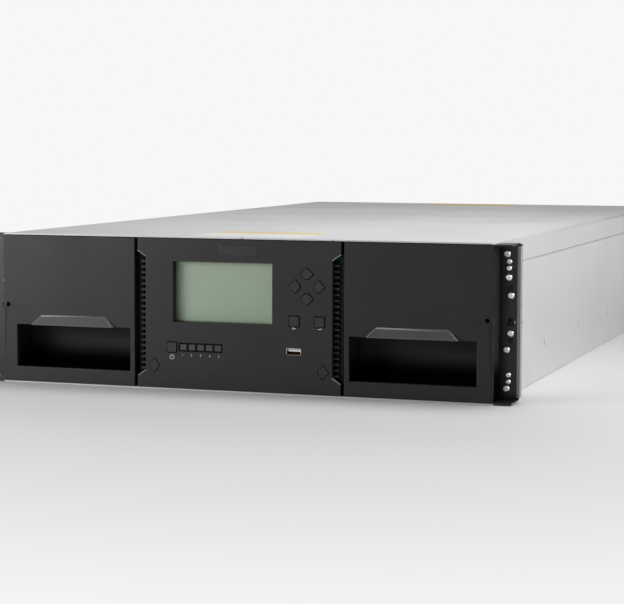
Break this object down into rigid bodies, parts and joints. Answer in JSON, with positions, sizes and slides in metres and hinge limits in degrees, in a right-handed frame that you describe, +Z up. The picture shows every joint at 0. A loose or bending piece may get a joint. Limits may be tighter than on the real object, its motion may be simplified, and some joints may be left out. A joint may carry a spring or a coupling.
{
  "type": "data tape library",
  "caption": "Rack-mount tape library with front display panel, pull-out cartridge magazines, picker robot and plug-in rear modules.",
  "frame": {"origin": "centre of the footprint on the underside", "axes": "+X to the right seen from the front, -Y out of the front panel, +Z up"},
  "size_m": [0.482, 0.896, 0.133],
  "materials": {
    "chassis_paint": "satin light grey powder coat",
    "inner_steel": "zinc plated sheet",
    "ear_black": "semi gloss black",
    "fastener_zinc": "bright zinc",
    "bezel_plastic": "fine textured black",
    "panel_plastic": "fine textured black",
    "badge_plastic": "satin dark grey",
    "display": "grey green display face",
    "board": "circuit board",
    "light_guide": "smoked translucent",
    "key_plastic": "satin grey",
    "magazine_plastic": "moulded grey",
    "cartridge_plastic": "dark textured",
    "guide_plastic": "low friction black",
    "rack_plastic": "natural nylon",
    "lock_brass": "stamped",
    "robot_alloy": "milled alloy",
    "shaft_steel": "ground steel",
    "tray_plastic": "moulded amber",
    "module_alloy": "plain alloy case",
    "fan_plastic": "black",
    "pull_plastic": "satin green"
  },
  "bodies": {
    "chassis": {"bottom_pan": "chassis_paint", "side_panel_left": "chassis_paint", "side_panel_right": "chassis_paint", "top_cover": "chassis_paint", "front_frame": "inner_steel", "rear_panel": "inner_steel", "rack_ear_left": "ear_black", "rack_ear_right": "ear_black", "ear_screws": "fastener_zinc", "chassis_fasteners": "fastener_zinc", "control_panel_shell": "panel_plastic", "blank_badge": "badge_plastic", "display_glass": "display", "control_board": "board", "light_guides": "light_guide", "usb_socket": "inner_steel", "vent_grilles": "panel_plastic", "panel_screw_caps": "panel_plastic", "magazine_guides": "guide_plastic", "lift_racks": "rack_plastic", "drive_bay_frame": "inner_steel", "bay_cover": "inner_steel"},
    "magazine_left": {"magazine_bezel_left": "bezel_plastic", "magazine_frame_left": "magazine_plastic", "magazine_shelves_left": "magazine_plastic", "cartridges_left": "cartridge_plastic"},
    "magazine_right": {"magazine_bezel_right": "bezel_plastic", "magazine_frame_right": "magazine_plastic", "magazine_shelves_right": "magazine_plastic", "cartridges_right": "cartridge_plastic"},
    "lock_left": {"magazine_lock_left": "lock_brass"},
    "lock_right": {"magazine_lock_right": "lock_brass"},
    "elevator": {"elevator_frame": "robot_alloy"},
    "front_shaft": {"lift_shaft_front": "shaft_steel"},
    "rear_shaft": {"lift_shaft_rear": "shaft_steel"},
    "carriage": {"picker_carriage": "robot_alloy"},
    "turntable": {"picker_turntable": "tray_plastic"},
    "gripper": {"gripper_slide": "robot_alloy"},
    "finger_left": {"gripper_finger_left": "shaft_steel"},
    "finger_right": {"gripper_finger_right": "shaft_steel"},
    "drive_module_1": {"drive_1": "module_alloy"},
    "drive_module_2": {"drive_2": "module_alloy"},
    "drive_rotor_1": {"drive_fan_1": "fan_plastic"},
    "drive_rotor_2": {"drive_fan_2": "fan_plastic"},
    "power_supply_1": {"psu_1": "module_alloy"},
    "power_supply_2": {"psu_2": "module_alloy"},
    "power_rotor_1": {"psu_fan_1": "fan_plastic"},
    "power_rotor_2": {"psu_fan_2": "fan_plastic"},
    "power_bail_1": {"psu_handle_1": "pull_plastic"},
    "power_bail_2": {"psu_handle_2": "pull_plastic"},
    "controller": {"controller_module": "module_alloy"},
    "key_up": {"button_up": "key_plastic"},
    "key_left": {"button_left": "key_plastic"},
    "key_down": {"button_down": "key_plastic"},
    "key_right": {"button_right": "key_plastic"},
    "key_back": {"button_back": "key_plastic"},
    "key_enter": {"button_enter": "key_plastic"},
    "key_power": {"button_power": "key_plastic"}
  },
  "joints": [
    {"name": "magazine_left_slide", "type": "slide", "parent": "chassis", "child": "magazine_left", "axis": [0, -1, 0], "range_m": [0, 0.44]},
    {"name": "magazine_right_slide", "type": "slide", "parent": "chassis", "child": "magazine_right", "axis": [0, -1, 0], "range_m": [0, 0.44]},
    {"name": "magazine_left_lock", "type": "hinge", "parent": "chassis", "child": "lock_left", "pos_m": [-0.21695, -0.34397, 0.07], "axis": [-1, 0, 0], "range_deg": [0, 6]},
    {"name": "magazine_right_lock", "type": "hinge", "parent": "chassis", "child": "lock_right", "pos_m": [0.21695, -0.34397, 0.07], "axis": [-1, 0, 0], "range_deg": [0, 6]},
    {"name": "key_up_press", "type": "slide", "parent": "chassis", "child": "key_up", "axis": [0, 1, 0], "range_m": [0, 0.001], "stiffness_N_per_m": 400, "springref_m": -0.0005},
    {"name": "key_left_press", "type": "slide", "parent": "chassis", "child": "key_left", "axis": [0, 1, 0], "range_m": [0, 0.001], "stiffness_N_per_m": 400, "springref_m": -0.0005},
    {"name": "key_down_press", "type": "slide", "parent": "chassis", "child": "key_down", "axis": [0, 1, 0], "range_m": [0, 0.001], "stiffness_N_per_m": 400, "springref_m": -0.0005},
    {"name": "key_right_press", "type": "slide", "parent": "chassis", "child": "key_right", "axis": [0, 1, 0], "range_m": [0, 0.001], "stiffness_N_per_m": 400, "springref_m": -0.0005},
    {"name": "key_back_press", "type": "slide", "parent": "chassis", "child": "key_back", "axis": [0, 1, 0], "range_m": [0, 0.001], "stiffness_N_per_m": 400, "springref_m": -0.0005},
    {"name": "key_enter_press", "type": "slide", "parent": "chassis", "child": "key_enter", "axis": [0, 1, 0], "range_m": [0, 0.001], "stiffness_N_per_m": 400, "springref_m": -0.0005},
    {"name": "key_power_press", "type": "slide", "parent": "chassis", "child": "key_power", "axis": [0, 1, 0], "range_m": [0, 0.001], "stiffness_N_per_m": 400, "springref_m": -0.0005},
    {"name": "elevator_lift", "type": "slide", "parent": "chassis", "child": "elevator", "axis": [0, 0, 1], "range_m": [0, 0.094]},
    {"name": "front_shaft_turn", "type": "hinge", "parent": "elevator", "child": "front_shaft", "pos_m": [0, -0.41297, 0.0075], "axis": [1, 0, 0], "range_deg": [0, 1123]},
    {"name": "rear_shaft_turn", "type": "hinge", "parent": "elevator", "child": "rear_shaft", "pos_m": [0, 0.19523, 0.0075], "axis": [1, 0, 0], "range_deg": [-1123, 0]},
    {"name": "carriage_travel", "type": "slide", "parent": "elevator", "child": "carriage", "axis": [0, 1, 0], "range_m": [-0.11, 0.33]},
    {"name": "turntable_turn", "type": "hinge", "parent": "carriage", "child": "turntable", "pos_m": [0, -0.23947, 0.0074], "axis": [0, 0, 1], "range_deg": [-90, 90]},
    {"name": "gripper_reach", "type": "slide", "parent": "turntable", "child": "gripper", "axis": [0, 1, 0], "range_m": [0, 0.13]},
    {"name": "finger_right_grip", "type": "hinge", "parent": "gripper", "child": "finger_right", "pos_m": [0.046, -0.28547, 0.014], "axis": [0, 0, 1], "range_deg": [0, 8]},
    {"name": "finger_left_grip", "type": "hinge", "parent": "gripper", "child": "finger_left", "pos_m": [-0.046, -0.28547, 0.014], "axis": [0, 0, 1], "range_deg": [-8, 0]},
    {"name": "drive_1_slide", "type": "slide", "parent": "chassis", "child": "drive_module_1", "axis": [0, 1, 0], "range_m": [0, 0.24]},
    {"name": "drive_1_fan", "type": "hinge", "parent": "drive_module_1", "child": "drive_rotor_1", "pos_m": [-0.0575, 0.42618, 0.0235], "axis": [0, 1, 0], "continuous": true},
    {"name": "psu_1_slide", "type": "slide", "parent": "chassis", "child": "power_supply_1", "axis": [0, 1, 0], "range_m": [0, 0.24]},
    {"name": "psu_1_fan", "type": "hinge", "parent": "power_supply_1", "child": "power_rotor_1", "pos_m": [0.1355, 0.42618, 0.02325], "axis": [0, 1, 0], "continuous": true},
    {"name": "psu_1_bail", "type": "hinge", "parent": "power_supply_1", "child": "power_bail_1", "pos_m": [0.1655, 0.43667, 0.0385], "axis": [1, 0, 0], "range_deg": [0, 90]},
    {"name": "drive_2_slide", "type": "slide", "parent": "chassis", "child": "drive_module_2", "axis": [0, 1, 0], "range_m": [0, 0.24]},
    {"name": "drive_2_fan", "type": "hinge", "parent": "drive_module_2", "child": "drive_rotor_2", "pos_m": [-0.0575, 0.42618, 0.066], "axis": [0, 1, 0], "continuous": true},
    {"name": "psu_2_slide", "type": "slide", "parent": "chassis", "child": "power_supply_2", "axis": [0, 1, 0], "range_m": [0, 0.24]},
    {"name": "psu_2_fan", "type": "hinge", "parent": "power_supply_2", "child": "power_rotor_2", "pos_m": [0.1355, 0.42618, 0.06975], "axis": [0, 1, 0], "continuous": true},
    {"name": "psu_2_bail", "type": "hinge", "parent": "power_supply_2", "child": "power_bail_2", "pos_m": [0.1655, 0.43667, 0.085], "axis": [1, 0, 0], "range_deg": [0, 90]},
    {"name": "controller_slide", "type": "slide", "parent": "chassis", "child": "controller", "axis": [0, 1, 0], "range_m": [0, 0.2]}
  ],
  "couplings": [
    {"joint": "front_shaft_turn", "follows": "elevator_lift", "rad_per_m": 208.33},
    {"joint": "rear_shaft_turn", "follows": "elevator_lift", "rad_per_m": -208.33},
    {"joint": "finger_left_grip", "follows": "finger_right_grip", "ratio": -1}
  ]
}
